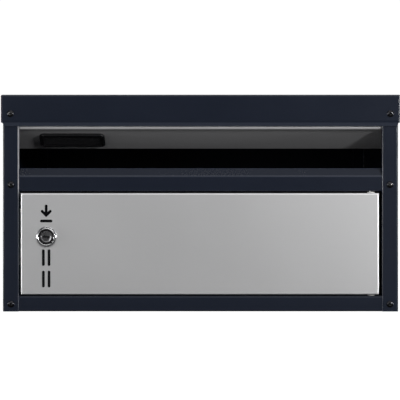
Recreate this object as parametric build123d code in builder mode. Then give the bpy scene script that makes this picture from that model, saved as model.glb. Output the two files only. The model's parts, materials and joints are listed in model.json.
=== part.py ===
"""Wall mounted mailbox: coated steel body, satin door, letter slot with a swinging flap.

Frame: +X to the right of someone facing the door, +Y towards the wall, +Z up.
The origin is the centre of the four wall holes, on the rear face of the back panel.
"""
import os
from math import cos, radians, sin

from build123d import *

os.makedirs("parts", exist_ok=True)

# Overall size
ROOF_WIDTH = 450.0
BODY_WIDTH = 446.0
TOTAL_HEIGHT = 244.3
BODY_DEPTH = 288.0
ROOF_PROUD = 3.4

# Sheet metal
SHEET = 1.2
BACK_SHEET = 1.5
BRACKET_SHEET = 1.5
BEND = 2.0

# Front layout, heights above the underside
STILE_EDGE = 204.6
STILE_RETURN = 3.2
BOTTOM_RAIL_TOP = 17.5
DOOR_BOTTOM = 19.2
DOOR_TOP = 133.5
RAIL_BOTTOM = 135.5
RAIL_TOP = 152.5
SILL_TOP = 161.2
SILL_DEPTH = 5.5
ROOF_EDGE = 209.1
ROOF_BEND = 215.3
SKIRT_BOTTOM = 213.1
RAIL_RETURN = 16.0

# Door
DOOR_LEFT = -202.7
DOOR_RIGHT = 201.2
DOOR_DEPTH = 13.0
HINGE_X = 193.2
HINGE_DEPTH = 8.0
PIN_RADIUS = 2.5
PIN_HEAD_RADIUS = 4.0
PIN_HEAD = 1.5
PIN_REACH = 9.0
RUNNING_FIT = 0.05

# Lock
LOCK_X = -173.7
LOCK_HEIGHT = 84.2
PLUG_RADIUS = 6.75
BARREL_RADIUS = 9.5
BARREL_REAR = 16.4
CAM_FRONT = 17.0
CAM_SHEET = 2.0
CAM_REACH = 36.3
CAM_WIDTH = 14.0
TANG = 7.0

# Slot flap
FLAP_HALF_WIDTH = 211.5
FLAP_SHEET = 1.0
FLAP_LENGTH = 48.5
FLAP_REST_ANGLE = 62.6
FLAP_AXIS_DEPTH = 6.2
FLAP_AXIS_HEIGHT = 208.2
ROD_RADIUS = 2.0

# Nameplate on the flap
PLATE_LEFT = -184.6
PLATE_WIDTH = 75.0
PLATE_HEIGHT = 27.0
PLATE_TOP_REACH = 12.5
PLATE_THICKNESS = 3.2

# Fasteners and wall pattern
SCREW_X = 213.6
SCREW_HEIGHTS = (8.5, 143.1, 222.8)
SCREW_HEAD_RADIUS = 3.85
SCREW_SHANK = 2.0
WALL_SPACING_X = 350.0
WALL_SPACING_Z = 170.0
WALL_HOLE_RADIUS = 4.0
RIVET_RADIUS = 1.6
CUT = 1.0

BASE = -TOTAL_HEIGHT / 2
FACE_Y = -BODY_DEPTH
ROOF_FACE_Y = FACE_Y - ROOF_PROUD
BACK_Y = -BACK_SHEET
INNER_X = BODY_WIDTH / 2 - SHEET
RAIL_HALF_WIDTH = 221.0
RAIL_FACE_Y = FACE_Y + SHEET
HINGE_Y = FACE_Y + HINGE_DEPTH
LOCK_Z = BASE + LOCK_HEIGHT
FLAP_Y = FACE_Y + FLAP_AXIS_DEPTH
FLAP_Z = BASE + FLAP_AXIS_HEIGHT


def save(piece, name):
    """Label one finished piece and write it."""
    piece.part.label = name
    export_step(piece.part, f"parts/{name}.step")


def folded_profile(points, thickness, radius=BEND):
    """Section of a folded sheet along its middle line, bent at each inner point."""
    with BuildSketch() as profile:
        with BuildLine():
            FilletPolyline(*points, radius=radius - thickness / 2)
        trace(line_width=thickness)
    return profile.sketch


# Rivets that tie the shell to the back panel: (x, z) places
FLANGE_RIVET_X = 214.0
FLANGE_RIVET_HEIGHTS = (32.0, 92.0, 152.0, 204.0)
LIP_RIVET_X = (-150.0, 0.0, 150.0)
FLOOR_RIVET_HEIGHT = 10.0
ROOF_RIVET_HEIGHT = 234.0
flange_rivets = [(side * FLANGE_RIVET_X, BASE + h) for side in (-1, 1) for h in FLANGE_RIVET_HEIGHTS]
floor_rivets = [(x, BASE + FLOOR_RIVET_HEIGHT) for x in LIP_RIVET_X]
roof_rivets = [(x, BASE + ROOF_RIVET_HEIGHT) for x in LIP_RIVET_X]
back_rivet_places = flange_rivets + floor_rivets + roof_rivets


# ---------------------------------------------------------------- shell

with BuildPart() as back_panel:
    with BuildSketch(Plane.XZ):
        Rectangle(BODY_WIDTH, TOTAL_HEIGHT)
        with GridLocations(WALL_SPACING_X, WALL_SPACING_Z, 2, 2):
            Circle(WALL_HOLE_RADIUS, mode=Mode.SUBTRACT)
        with Locations(*back_rivet_places):
            Circle(RIVET_RADIUS, mode=Mode.SUBTRACT)
    extrude(amount=BACK_SHEET)
save(back_panel, "back_panel")

SIDE_HEIGHT = TOTAL_HEIGHT - SHEET
REAR_FLANGE = 16.0
side_line = [
    (STILE_EDGE + SHEET / 2, FACE_Y + STILE_RETURN),
    (STILE_EDGE + SHEET / 2, FACE_Y + SHEET / 2),
    (BODY_WIDTH / 2 - SHEET / 2, FACE_Y + SHEET / 2),
    (BODY_WIDTH / 2 - SHEET / 2, BACK_Y - SHEET / 2),
    (BODY_WIDTH / 2 - REAR_FLANGE, BACK_Y - SHEET / 2),
]
NOTCH_WIDTH = 3.0
NOTCH_PLAY = 0.6
rail_bands = [(0.0, BOTTOM_RAIL_TOP), (RAIL_BOTTOM, SILL_TOP)]

with BuildPart() as right_side_panel:
    with BuildSketch(Plane.XY.offset(BASE)):
        add(folded_profile(side_line, SHEET))
    extrude(amount=SIDE_HEIGHT)
    # the stile's inner return is notched where the rails pass behind the stile
    for low, high in rail_bands:
        with Locations((STILE_EDGE, RAIL_FACE_Y + NOTCH_WIDTH / 2, BASE + (low + high) / 2)):
            Box(2 * NOTCH_WIDTH, NOTCH_WIDTH, high - low + NOTCH_PLAY, mode=Mode.SUBTRACT)
    with BuildSketch(Plane.XZ.offset(BODY_DEPTH)):
        with Locations(*[(SCREW_X, BASE + h) for h in SCREW_HEIGHTS]):
            Circle(SCREW_SHANK)
    extrude(amount=-STILE_RETURN, mode=Mode.SUBTRACT)
    with BuildSketch(Plane.XZ):
        with Locations(*flange_rivets):
            Circle(RIVET_RADIUS)
    extrude(amount=2 * REAR_FLANGE, mode=Mode.SUBTRACT)
save(right_side_panel, "right_side_panel")

with BuildPart() as left_side_panel:
    add(mirror(right_side_panel.part, about=Plane.YZ, mode=Mode.PRIVATE))
save(left_side_panel, "left_side_panel")

# Floor: the bottom rail, the drained floor and a lip up the back panel in one folded sheet
FLOOR_LIP = 18.0
LIP_HALF_WIDTH = 207.0
LIP_CUT = 20.0
DRAIN_SPACING_X = 380.0
DRAIN_SPACING_Y = 220.0
DRAIN_RADIUS = 3.0
floor_line = [
    (RAIL_FACE_Y + RAIL_RETURN, BASE + BOTTOM_RAIL_TOP - SHEET / 2),
    (RAIL_FACE_Y + SHEET / 2, BASE + BOTTOM_RAIL_TOP - SHEET / 2),
    (RAIL_FACE_Y + SHEET / 2, BASE + SHEET / 2),
    (BACK_Y - SHEET / 2, BASE + SHEET / 2),
    (BACK_Y - SHEET / 2, BASE + FLOOR_LIP),
]
with BuildPart() as floor_panel:
    with BuildSketch(Plane.YZ):
        add(folded_profile(floor_line, SHEET))
    extrude(amount=RAIL_HALF_WIDTH, both=True)
    for side in (-1, 1):
        with Locations((side * (LIP_HALF_WIDTH + LIP_CUT / 2), BACK_Y - SHEET, BASE + FLOOR_LIP / 2)):
            Box(LIP_CUT, 3 * SHEET, FLOOR_LIP + 2 * CUT, mode=Mode.SUBTRACT)
    with BuildSketch(Plane.XY.offset(BASE)):
        with Locations((0, -BODY_DEPTH / 2)):
            with GridLocations(DRAIN_SPACING_X, DRAIN_SPACING_Y, 2, 2):
                Circle(DRAIN_RADIUS)
    extrude(amount=SHEET, mode=Mode.SUBTRACT)
    with BuildSketch(Plane.XZ.offset(-RAIL_FACE_Y)):
        with Locations(*[(side * SCREW_X, BASE + SCREW_HEIGHTS[0]) for side in (-1, 1)]):
            Circle(SCREW_SHANK)
    extrude(amount=-2 * SHEET, mode=Mode.SUBTRACT)
    with BuildSketch(Plane.XZ):
        with Locations(*floor_rivets):
            Circle(RIVET_RADIUS)
    extrude(amount=4 * SHEET, mode=Mode.SUBTRACT)
    with BuildSketch(Plane.XY.offset(BASE + BOTTOM_RAIL_TOP)):
        with Locations((HINGE_X, HINGE_Y)):
            Circle(PIN_RADIUS)
    extrude(amount=-2 * SHEET, mode=Mode.SUBTRACT)
save(floor_panel, "floor_panel")

# Middle rail: sloping sill, face and an underside return that carries the upper hinge pin
rail_line = [
    (RAIL_FACE_Y + SILL_DEPTH + SHEET / 2, BASE + SILL_TOP),
    (RAIL_FACE_Y + SHEET / 2, BASE + RAIL_TOP),
    (RAIL_FACE_Y + SHEET / 2, BASE + RAIL_BOTTOM + SHEET / 2),
    (RAIL_FACE_Y + RAIL_RETURN, BASE + RAIL_BOTTOM + SHEET / 2),
]
with BuildPart() as middle_rail:
    with BuildSketch(Plane.YZ):
        add(folded_profile(rail_line, SHEET))
    extrude(amount=RAIL_HALF_WIDTH, both=True)
    with BuildSketch(Plane.XZ.offset(-RAIL_FACE_Y)):
        with Locations(*[(side * SCREW_X, BASE + SCREW_HEIGHTS[1]) for side in (-1, 1)]):
            Circle(SCREW_SHANK)
    extrude(amount=-2 * SHEET, mode=Mode.SUBTRACT)
    with BuildSketch(Plane.XY.offset(BASE + RAIL_BOTTOM)):
        with Locations((HINGE_X, HINGE_Y)):
            Circle(PIN_RADIUS)
    extrude(amount=2 * SHEET, mode=Mode.SUBTRACT)
save(middle_rail, "middle_rail")

# Roof cap: a folded lid whose front edge turns back under the fascia
ROOF_LIP = 16.0
ROOF_DEPTH = -ROOF_FACE_Y - BACK_SHEET
ROOF_SKIRT = TOTAL_HEIGHT - SKIRT_BOTTOM
EDGE_PLAY = 0.15
EDGE_RUN = ROOF_PROUD - SHEET - EDGE_PLAY
FASCIA_HALF = ROOF_WIDTH / 2 - BEND
FASCIA_SEAM = 222.0
FASCIA_BAND = FASCIA_SEAM - SKIRT_BOTTOM + 2 * CUT
MITRE = 3.5
FAR_X = ROOF_WIDTH / 2 + CUT
MITRE_TOP = (ROOF_WIDTH / 2 - BEND, BASE + SKIRT_BOTTOM)
MITRE_FOOT = (ROOF_WIDTH / 2 - MITRE, BASE + ROOF_EDGE)
fascia_line = [
    (ROOF_FACE_Y + SHEET / 2 + EDGE_RUN, BASE + ROOF_EDGE),
    (ROOF_FACE_Y + SHEET / 2, BASE + ROOF_BEND),
    (ROOF_FACE_Y + SHEET / 2, BASE + FASCIA_SEAM),
]
with BuildPart() as roof_cap:
    with BuildSketch(Plane.XY.offset(BASE + SKIRT_BOTTOM)):
        with Locations((0, (ROOF_FACE_Y + BACK_Y) / 2)):
            Rectangle(ROOF_WIDTH, ROOF_DEPTH)
    extrude(amount=ROOF_SKIRT)
    front_corners = roof_cap.edges().filter_by(Axis.Z).group_by(Axis.Y)[0]
    fillet(front_corners, BEND)
    top_rim = roof_cap.faces().sort_by(Axis.Z)[-1].edges().group_by(Axis.Y)[:-1]
    fillet([edge for group in top_rim for edge in group], BEND)
    open_faces = [roof_cap.faces().sort_by(Axis.Z)[0], roof_cap.faces().sort_by(Axis.Y)[-1]]
    offset(amount=-SHEET, openings=open_faces)
    # the fascia's lower edge is one sheet with the edge that turns back under it
    with Locations((0, ROOF_FACE_Y, BASE + FASCIA_SEAM - FASCIA_BAND / 2)):
        Box(2 * FASCIA_HALF, 3 * SHEET, FASCIA_BAND, mode=Mode.SUBTRACT)
    with BuildSketch(Plane.YZ):
        add(folded_profile(fascia_line, SHEET))
    extrude(amount=FASCIA_HALF, both=True)
    with Locations((0, BACK_Y - SHEET / 2, BASE + TOTAL_HEIGHT - SHEET - ROOF_LIP / 2)):
        Box(2 * STILE_EDGE, SHEET, ROOF_LIP + SHEET)
    # mitred ends of the turned-back edge
    with BuildSketch(Plane.XZ.offset(-ROOF_FACE_Y + CUT)):
        with BuildLine():
            Polyline(
                (FAR_X, MITRE_TOP[1]),
                MITRE_TOP,
                MITRE_FOOT,
                (MITRE_FOOT[0], MITRE_FOOT[1] - CUT),
                (FAR_X, MITRE_FOOT[1] - CUT),
                close=True,
            )
        make_face()
        mirror(about=Plane.YZ)
    extrude(amount=-ROOF_PROUD - CUT, mode=Mode.SUBTRACT)
    with BuildSketch(Plane.XZ.offset(-ROOF_FACE_Y)):
        with Locations(*[(side * SCREW_X, BASE + SCREW_HEIGHTS[2]) for side in (-1, 1)]):
            Circle(SCREW_SHANK)
    extrude(amount=-2 * SHEET, mode=Mode.SUBTRACT)
    with BuildSketch(Plane.XZ):
        with Locations(*roof_rivets):
            Circle(RIVET_RADIUS)
    extrude(amount=4 * SHEET, mode=Mode.SUBTRACT)
save(roof_cap, "roof_cap")

# Chute: guides mail away from the door and keeps hands out of the compartment
CHUTE_DEPTH = 100.0
CHUTE_DROP = 24.0
CHUTE_TOP = 148.0
CHUTE_LIP = 8.0
CHUTE_HALF_WIDTH = 219.0
CHUTE_FOOT = 3.0
NUT_NOTCH = (18.0, 8.0, 20.0)
CHUTE_FRONT = RAIL_FACE_Y + SHEET + SHEET / 2
chute_line = [
    (CHUTE_FRONT, BASE + RAIL_BOTTOM + CHUTE_FOOT),
    (CHUTE_FRONT, BASE + CHUTE_TOP),
    (CHUTE_FRONT + CHUTE_DEPTH, BASE + CHUTE_TOP - CHUTE_DROP),
    (CHUTE_FRONT + CHUTE_DEPTH, BASE + CHUTE_TOP - CHUTE_DROP - CHUTE_LIP),
]
with BuildPart() as chute_plate:
    with BuildSketch(Plane.YZ):
        add(folded_profile(chute_line, SHEET))
    extrude(amount=CHUTE_HALF_WIDTH, both=True)
    # clearance round the nuts of the rail's screws
    for side in (-1, 1):
        with Locations((side * SCREW_X, CHUTE_FRONT, BASE + SCREW_HEIGHTS[1])):
            Box(*NUT_NOTCH, mode=Mode.SUBTRACT)
save(chute_plate, "chute_plate")

# ---------------------------------------------------------------- letter flap

slot_plane = Plane(
    origin=(0, FLAP_Y, FLAP_Z),
    x_dir=(1, 0, 0),
    z_dir=(0, -cos(radians(FLAP_REST_ANGLE)), -sin(radians(FLAP_REST_ANGLE))),
)
CURL_RADIUS = ROD_RADIUS + FLAP_SHEET
HEM = 6.0
HEM_ROUND = 0.6

with BuildPart() as flap:
    with BuildSketch(Plane(origin=slot_plane.origin, x_dir=-slot_plane.y_dir, z_dir=(1, 0, 0))):
        Circle(CURL_RADIUS)
        with Locations((FLAP_LENGTH / 2, 0)):
            Rectangle(FLAP_LENGTH, FLAP_SHEET)
        # closed hem along the free edge, folded to the inner side
        with Locations((FLAP_LENGTH - HEM / 2, FLAP_SHEET)):
            Rectangle(HEM, FLAP_SHEET)
        Circle(ROD_RADIUS, mode=Mode.SUBTRACT)
    extrude(amount=FLAP_HALF_WIDTH, both=True)
    free_edge = flap.edges().filter_by(Axis.X).sort_by(Axis.Y)[-2:]
    fillet(free_edge, HEM_ROUND)
save(flap, "flap")

ROD_HALF_LENGTH = 219.0
ROD_CHAMFER = 0.3
with BuildPart() as flap_rod:
    with BuildSketch(Plane.YZ):
        with Locations((FLAP_Y, FLAP_Z)):
            Circle(ROD_RADIUS)
    extrude(amount=ROD_HALF_LENGTH, both=True)
    chamfer(flap_rod.edges(), ROD_CHAMFER)
save(flap_rod, "flap_rod")

BUSH_FLANGE_X = 212.3
BRACKET_X = 214.5
BUSH_RADIUS = 3.0
BUSH_FLANGE_RADIUS = 4.4
BRACKET_HEIGHT = 18.0
BRACKET_DEPTH = 20.0
BRACKET_SIDE_GAP = 0.8
bracket_line = [
    (INNER_X - BRACKET_SIDE_GAP, RAIL_FACE_Y + BRACKET_SHEET / 2),
    (BRACKET_X + BRACKET_SHEET / 2, RAIL_FACE_Y + BRACKET_SHEET / 2),
    (BRACKET_X + BRACKET_SHEET / 2, RAIL_FACE_Y + BRACKET_DEPTH),
]
with BuildPart() as flap_bracket_right:
    with BuildSketch(Plane.XY.offset(FLAP_Z - BRACKET_HEIGHT / 2)):
        add(folded_profile(bracket_line, BRACKET_SHEET))
    extrude(amount=BRACKET_HEIGHT)
    with BuildSketch(Plane.YZ.offset(BRACKET_X)):
        with Locations((FLAP_Y, FLAP_Z)):
            Circle(BUSH_RADIUS)
    extrude(amount=BRACKET_SHEET, mode=Mode.SUBTRACT)
save(flap_bracket_right, "flap_bracket_right")

with BuildPart() as flap_bracket_left:
    add(mirror(flap_bracket_right.part, about=Plane.YZ, mode=Mode.PRIVATE))
save(flap_bracket_left, "flap_bracket_left")

with BuildPart() as flap_bushes:
    for side in (-1, 1):
        with BuildSketch(Plane.YZ.offset(side * BUSH_FLANGE_X)):
            with Locations((FLAP_Y, FLAP_Z)):
                Circle(BUSH_FLANGE_RADIUS)
                Circle(ROD_RADIUS + RUNNING_FIT, mode=Mode.SUBTRACT)
        extrude(amount=side * (BRACKET_X - BUSH_FLANGE_X))
        with BuildSketch(Plane.YZ.offset(side * BRACKET_X)):
            with Locations((FLAP_Y, FLAP_Z)):
                Circle(BUSH_RADIUS)
                Circle(ROD_RADIUS + RUNNING_FIT, mode=Mode.SUBTRACT)
        extrude(amount=side * BRACKET_SHEET)
save(flap_bushes, "flap_bushes")

CLIP_X = 216.8
CLIP_SHEET = 0.6
CLIP_RADIUS = 3.4
CLIP_MOUTH = 2.6
with BuildPart() as rod_clips:
    for side in (-1, 1):
        with BuildSketch(Plane.YZ.offset(side * CLIP_X)):
            with Locations((FLAP_Y, FLAP_Z)):
                Circle(CLIP_RADIUS)
                Circle(ROD_RADIUS, mode=Mode.SUBTRACT)
            with Locations((FLAP_Y, FLAP_Z - CLIP_RADIUS)):
                Rectangle(CLIP_MOUTH, CLIP_RADIUS, mode=Mode.SUBTRACT)
        extrude(amount=side * CLIP_SHEET)
save(rod_clips, "rod_clips")

BUMPER_HEIGHT = 166.0
BUMPER_LENGTH = 8.4
BUMPER_X = 209.4
BUMPER_RADIUS = 2.5
SOFT_EDGE = 0.8
with BuildPart() as flap_bumpers:
    for side in (-1, 1):
        with BuildSketch(Plane.XZ.offset(-RAIL_FACE_Y)):
            with Locations((side * BUMPER_X, BASE + BUMPER_HEIGHT)):
                Circle(BUMPER_RADIUS)
        extrude(amount=-BUMPER_LENGTH)
    fillet(flap_bumpers.edges().group_by(Axis.Y)[-1], SOFT_EDGE)
save(flap_bumpers, "flap_bumpers")

# Nameplate: a shallow black tray that holds a blank card under a clear window
plate_plane = slot_plane.offset(FLAP_SHEET / 2)
PLATE_CENTRE = (PLATE_LEFT + PLATE_WIDTH / 2, -PLATE_TOP_REACH - PLATE_HEIGHT / 2)
PLATE_CORNER = 6.0
PLATE_RIM = 3.0
PLATE_ROUND = 1.0
TRAY = (PLATE_WIDTH - 2 * PLATE_RIM, PLATE_HEIGHT - 2 * PLATE_RIM)
TRAY_CORNER = PLATE_CORNER - PLATE_RIM
CARD_BED = 1.2
CARD_SHEET = 0.4
CARD_CORNER = 2.0
CARD_PLAY = 0.5
with BuildPart() as nameplate_frame:
    with BuildSketch(plate_plane):
        with Locations(PLATE_CENTRE):
            RectangleRounded(PLATE_WIDTH, PLATE_HEIGHT, PLATE_CORNER)
    extrude(amount=PLATE_THICKNESS)
    fillet(nameplate_frame.faces().sort_by(Axis.Z)[0].edges(), PLATE_ROUND)
    with BuildSketch(plate_plane.offset(PLATE_THICKNESS)):
        with Locations(PLATE_CENTRE):
            RectangleRounded(*TRAY, TRAY_CORNER)
    extrude(amount=CARD_BED - PLATE_THICKNESS, mode=Mode.SUBTRACT)
save(nameplate_frame, "nameplate_frame")

with BuildPart() as name_card:
    with BuildSketch(plate_plane.offset(CARD_BED)):
        with Locations(PLATE_CENTRE):
            RectangleRounded(TRAY[0] - 2 * CARD_PLAY, TRAY[1] - 2 * CARD_PLAY, CARD_CORNER)
    extrude(amount=CARD_SHEET)
save(name_card, "name_card")

WINDOW_SHEET = 1.2
with BuildPart() as nameplate_window:
    with BuildSketch(plate_plane.offset(CARD_BED + CARD_SHEET)):
        with Locations(PLATE_CENTRE):
            RectangleRounded(*TRAY, TRAY_CORNER)
    extrude(amount=WINDOW_SHEET)
save(nameplate_window, "nameplate_window")

# ---------------------------------------------------------------- door

STROKE = 3.2
SIGN_X = -174.0
SIGN_Z = BASE + 108.4
ARROW_RISE = 10.6
BARB = 4.6
TRAY_WIDTH = 14.0
TRAY_DROP = 6.4
VIEW_SLOT_HEIGHTS = (60.8, 36.6)
VIEW_SLOT_LENGTH = 19.0

DOOR_CENTRE = ((DOOR_LEFT + DOOR_RIGHT) / 2, BASE + (DOOR_TOP + DOOR_BOTTOM) / 2)
DOOR_WIDTH = DOOR_RIGHT - DOOR_LEFT
DOOR_HEIGHT = DOOR_TOP - DOOR_BOTTOM
DOOR_BUSH_RADIUS = 3.6
DOOR_EDGE = 1.6
BUSH_LENGTH = 6.5

with BuildPart() as door_panel:
    with BuildSketch(Plane.XZ.offset(BODY_DEPTH - DOOR_DEPTH)):
        with Locations(DOOR_CENTRE):
            Rectangle(DOOR_WIDTH, DOOR_HEIGHT)
    extrude(amount=DOOR_DEPTH)
    fillet(door_panel.faces().sort_by(Axis.Y)[0].edges(), DOOR_EDGE)
    with BuildSketch(Plane.XZ.offset(BODY_DEPTH - DOOR_DEPTH)):
        with Locations(DOOR_CENTRE):
            Rectangle(DOOR_WIDTH - 2 * SHEET, DOOR_HEIGHT - 2 * SHEET)
    extrude(amount=DOOR_DEPTH - SHEET, mode=Mode.SUBTRACT)
    with BuildSketch(Plane.XZ.offset(BODY_DEPTH)):
        with Locations((LOCK_X, LOCK_Z)):
            Circle(BARREL_RADIUS)
        # mail sign above the lock: an arrow down to a tray
        with Locations((SIGN_X, SIGN_Z + ARROW_RISE / 2)):
            SlotOverall(ARROW_RISE + STROKE, STROKE, rotation=90)
        for side in (-1, 1):
            with Locations((SIGN_X + side * BARB / 2, SIGN_Z + BARB / 2)):
                SlotOverall(BARB * 2**0.5 + STROKE, STROKE, rotation=side * 45)
        with Locations((SIGN_X, SIGN_Z - TRAY_DROP)):
            SlotOverall(TRAY_WIDTH, STROKE)
        # view slots below the lock
        for height in VIEW_SLOT_HEIGHTS:
            with Locations((SIGN_X - STROKE, BASE + height), (SIGN_X + STROKE, BASE + height)):
                SlotOverall(VIEW_SLOT_LENGTH, STROKE, rotation=90)
    extrude(amount=-2 * SHEET, mode=Mode.SUBTRACT)
    for edge_z, inward in ((BASE + DOOR_BOTTOM, 1), (BASE + DOOR_TOP, -1)):
        with BuildSketch(Plane.XY.offset(edge_z - inward * CUT)):
            with Locations((HINGE_X, HINGE_Y)):
                Circle(DOOR_BUSH_RADIUS)
        extrude(amount=inward * BUSH_LENGTH, mode=Mode.SUBTRACT)
save(door_panel, "door_panel")

# Stiffening channel across the inside of the door
CHANNEL_LEFT = -140.0
CHANNEL_RIGHT = 180.0
CHANNEL_HEIGHT = 30.0
CHANNEL_DEPTH = 9.0
DOOR_INNER_Y = FACE_Y + SHEET
CHANNEL_MID = BASE + 76.0
channel_line = [
    (DOOR_INNER_Y + SHEET / 2, CHANNEL_MID - CHANNEL_HEIGHT),
    (DOOR_INNER_Y + SHEET / 2, CHANNEL_MID - CHANNEL_HEIGHT / 2),
    (DOOR_INNER_Y + CHANNEL_DEPTH, CHANNEL_MID - CHANNEL_HEIGHT / 2),
    (DOOR_INNER_Y + CHANNEL_DEPTH, CHANNEL_MID + CHANNEL_HEIGHT / 2),
    (DOOR_INNER_Y + SHEET / 2, CHANNEL_MID + CHANNEL_HEIGHT / 2),
    (DOOR_INNER_Y + SHEET / 2, CHANNEL_MID + CHANNEL_HEIGHT),
]
with BuildPart() as door_stiffener:
    with BuildSketch(Plane.YZ.offset(CHANNEL_LEFT)):
        add(folded_profile(channel_line, SHEET))
    extrude(amount=CHANNEL_RIGHT - CHANNEL_LEFT)
save(door_stiffener, "door_stiffener")


# Smoked sheet glued behind the cut-outs, open round the lock
SMOKED_WIDTH = 36.0
SMOKED_LOW = 24.0
SMOKED_HIGH = 124.0
SMOKED_SHEET = 1.0
SMOKED_CORNER = 2.0
LOCK_OPENING = 15.0
with BuildPart() as view_window:
    with BuildSketch(Plane.XZ.offset(-DOOR_INNER_Y)):
        with Locations((LOCK_X, BASE + (SMOKED_LOW + SMOKED_HIGH) / 2)):
            RectangleRounded(SMOKED_WIDTH, SMOKED_HIGH - SMOKED_LOW, SMOKED_CORNER)
        with Locations((LOCK_X, LOCK_Z)):
            Circle(LOCK_OPENING, mode=Mode.SUBTRACT)
    extrude(amount=-SMOKED_SHEET)
save(view_window, "view_window")


def hinge_pin(rail_z, inward):
    """Outline (radius, height) of a headed pin through a rail sheet, its tip towards the door."""
    seat = rail_z - inward * SHEET
    return [
        (0, seat - inward * PIN_HEAD),
        (PIN_HEAD_RADIUS, seat - inward * PIN_HEAD),
        (PIN_HEAD_RADIUS, seat),
        (PIN_RADIUS, seat),
        (PIN_RADIUS, rail_z + inward * PIN_REACH),
        (0, rail_z + inward * PIN_REACH),
    ]


hinge_plane = Plane(origin=(HINGE_X, HINGE_Y, 0), x_dir=(1, 0, 0), z_dir=(0, -1, 0))
hinge_axis = Axis((HINGE_X, HINGE_Y, 0), (0, 0, 1))

with BuildPart() as hinge_pin_lower:
    with BuildSketch(hinge_plane):
        with BuildLine():
            Polyline(*hinge_pin(BASE + BOTTOM_RAIL_TOP, 1), close=True)
        make_face()
    revolve(axis=hinge_axis)
save(hinge_pin_lower, "hinge_pin_lower")

with BuildPart() as hinge_pin_upper:
    with BuildSketch(hinge_plane):
        with BuildLine():
            Polyline(*hinge_pin(BASE + RAIL_BOTTOM, -1), close=True)
        make_face()
    revolve(axis=hinge_axis)
save(hinge_pin_upper, "hinge_pin_upper")

# Flanged bushes: the flange lies on the door's edge and keeps it off the rail
DOOR_FLANGE_RADIUS = 4.2
DOOR_FLANGE = 1.4
with BuildPart() as door_bushes:
    for outer_z, inward in ((BASE + DOOR_BOTTOM, 1), (BASE + DOOR_TOP, -1)):
        with BuildSketch(Plane.XY.offset(outer_z)):
            with Locations((HINGE_X, HINGE_Y)):
                Circle(DOOR_BUSH_RADIUS)
                Circle(PIN_RADIUS + RUNNING_FIT, mode=Mode.SUBTRACT)
        extrude(amount=inward * BUSH_LENGTH)
        with BuildSketch(Plane.XY.offset(outer_z)):
            with Locations((HINGE_X, HINGE_Y)):
                Circle(DOOR_FLANGE_RADIUS)
                Circle(PIN_RADIUS + RUNNING_FIT, mode=Mode.SUBTRACT)
        extrude(amount=-inward * DOOR_FLANGE)
save(door_bushes, "door_bushes")

# Strike: the cam swings behind it, and the door closes on its rubber buffers
STRIKE_DEPTH = 15.0
STRIKE_EDGE = -198.0
STRIKE_LOW = 52.0
STRIKE_HIGH = 116.0
STRIKE_LEG = 45.0
STRIKE_BEND = 2.5
strike_line = [
    (-INNER_X + BRACKET_SHEET / 2, FACE_Y + STRIKE_LEG),
    (-INNER_X + BRACKET_SHEET / 2, FACE_Y + STRIKE_DEPTH + BRACKET_SHEET / 2),
    (STRIKE_EDGE, FACE_Y + STRIKE_DEPTH + BRACKET_SHEET / 2),
]
with BuildPart() as latch_strike:
    with BuildSketch(Plane.XY.offset(BASE + STRIKE_LOW)):
        add(folded_profile(strike_line, BRACKET_SHEET, STRIKE_BEND))
    extrude(amount=STRIKE_HIGH - STRIKE_LOW)
save(latch_strike, "latch_strike")

BUFFER_GAP = 0.3
BUFFER_X = -202.0
BUFFER_RADIUS = 3.5
BUFFER_INSET = 6.0
with BuildPart() as door_buffers:
    for height in (STRIKE_LOW + BUFFER_INSET, STRIKE_HIGH - BUFFER_INSET):
        with BuildSketch(Plane.XZ.offset(BODY_DEPTH - STRIKE_DEPTH)):
            with Locations((BUFFER_X, BASE + height)):
                Circle(BUFFER_RADIUS)
        extrude(amount=STRIKE_DEPTH - DOOR_DEPTH - BUFFER_GAP)
    fillet(door_buffers.edges().group_by(Axis.Y)[0], SOFT_EDGE)
save(door_buffers, "door_buffers")

# ---------------------------------------------------------------- cam lock

BEZEL_RADIUS = 12.0
BEZEL_TIP_RADIUS = 9.7
BEZEL_PROUD = 3.2
BEZEL_RIM = 0.8
RING_RADIUS = 8.7
RING_BED = 1.2
RING_SET_BACK = 0.4
PLUG_BORE = PLUG_RADIUS + RUNNING_FIT
lock_plane = Plane(origin=(LOCK_X, FACE_Y, LOCK_Z), x_dir=(1, 0, 0), z_dir=(0, 0, 1))
lock_axis = Axis((LOCK_X, FACE_Y, LOCK_Z), (0, 1, 0))

with BuildPart() as lock_housing:
    with BuildSketch(lock_plane):
        with BuildLine():
            Polyline(
                (PLUG_BORE, BARREL_REAR),
                (PLUG_BORE, -RING_BED),
                (RING_RADIUS, -RING_BED),
                (RING_RADIUS, -BEZEL_PROUD),
                (BEZEL_TIP_RADIUS, -BEZEL_PROUD),
                (BEZEL_RADIUS, -BEZEL_RIM),
                (BEZEL_RADIUS, 0),
                (BARREL_RADIUS, 0),
                (BARREL_RADIUS, BARREL_REAR),
                close=True,
            )
        make_face()
    revolve(axis=lock_axis)
save(lock_housing, "lock_housing")

with BuildPart() as lock_ring:
    with BuildSketch(lock_plane):
        with Locations(((RING_RADIUS + PLUG_BORE) / 2, -(BEZEL_PROUD - RING_SET_BACK + RING_BED) / 2)):
            Rectangle(RING_RADIUS - PLUG_BORE, BEZEL_PROUD - RING_SET_BACK - RING_BED)
    revolve(axis=lock_axis)
save(lock_ring, "lock_ring")

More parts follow.
